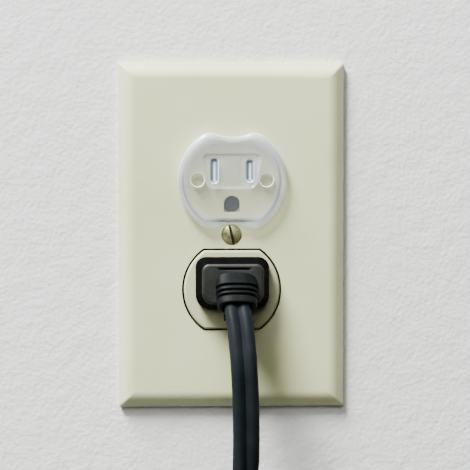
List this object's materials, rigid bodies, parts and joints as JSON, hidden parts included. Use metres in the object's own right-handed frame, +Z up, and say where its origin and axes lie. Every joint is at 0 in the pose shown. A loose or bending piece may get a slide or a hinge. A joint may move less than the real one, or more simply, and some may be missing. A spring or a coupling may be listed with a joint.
{
  "type": "duplex wall outlet with safety cap and plugged-in lead",
  "caption": "Duplex wall receptacle under a bevelled plate, with a clear push-in safety cap in one socket and a black two-blade plug and flat coiled lead in the other.",
  "frame": {"origin": "midway between the two mounting screws' axes, in the plane of the wall surface (the back of the wall plate's rim and of the mounting strap)", "axes": "+X to the right as seen from the room, +Y into the wall, +Z up; the outlet faces -Y"},
  "size_m": [0.1398, 0.0592, 0.2953],
  "materials": {
    "plate_plastic": "light ivory, satin, slightly soiled",
    "face_plastic": "light ivory, satin",
    "housing_plastic": "moulded, matt",
    "zinc_steel": "zinc plated",
    "contact_brass": "stamped",
    "contact_silver": "nickel plated brass",
    "brass_screws": "bright",
    "silver_screws": "nickel or zinc plated",
    "green_screw": "green passivated",
    "fibre": "vulcanised fibre",
    "plate_screw_steel": "ivory-painted steel, worn to metal",
    "cap_plastic": "clear, slightly cloudy",
    "plug_vinyl": "black moulded vinyl, satin",
    "carrier_plastic": "moulded",
    "blade_metal": "nickel plated brass",
    "core_copper": "core insulation",
    "cord_vinyl": "black vinyl, satin",
    "tie_fabric": "woven hook-and-loop strap"
  },
  "bodies": {
    "outlet": {"wall_plate": "plate_plastic", "receptacle_face": "face_plastic", "rear_housing": "housing_plastic", "mounting_strap": "zinc_steel", "hot_contact": "contact_brass", "neutral_contact": "contact_silver", "ground_contact": "contact_brass", "ground_rivets": "contact_brass", "housing_rivets": "zinc_steel", "hot_terminal_screws": "brass_screws", "neutral_terminal_screws": "silver_screws", "ground_screw": "green_screw", "box_screws": "silver_screws", "screw_retainers": "fibre"},
    "plate_screw": {"plate_screw": "plate_screw_steel"},
    "safety_cap": {"safety_cap": "cap_plastic"},
    "lead": {"plug_body": "plug_vinyl", "blade_carrier": "carrier_plastic", "hot_blade": "blade_metal", "neutral_blade": "blade_metal", "blade_crimps": "contact_brass", "plug_wires": "core_copper", "strain_relief": "plug_vinyl", "cord_run": "cord_vinyl", "cord_coil": "cord_vinyl", "cord_tie": "tie_fabric", "cord_tail": "cord_vinyl", "connector_relief": "plug_vinyl", "connector_body": "plug_vinyl", "connector_sleeves": "blade_metal"}
  },
  "joints": [
    {"name": "plate_screw_turn", "type": "hinge", "parent": "outlet", "child": "plate_screw", "pos_m": [0, -0.0056, 0], "axis": [0, -1, 0], "continuous": true},
    {"name": "safety_cap_pull", "type": "slide", "parent": "outlet", "child": "safety_cap", "axis": [0, -1, 0], "range_m": [0, 0.018]},
    {"name": "plug_pull", "type": "slide", "parent": "outlet", "child": "lead", "axis": [0, -1, 0], "range_m": [0, 0.02]}
  ]
}
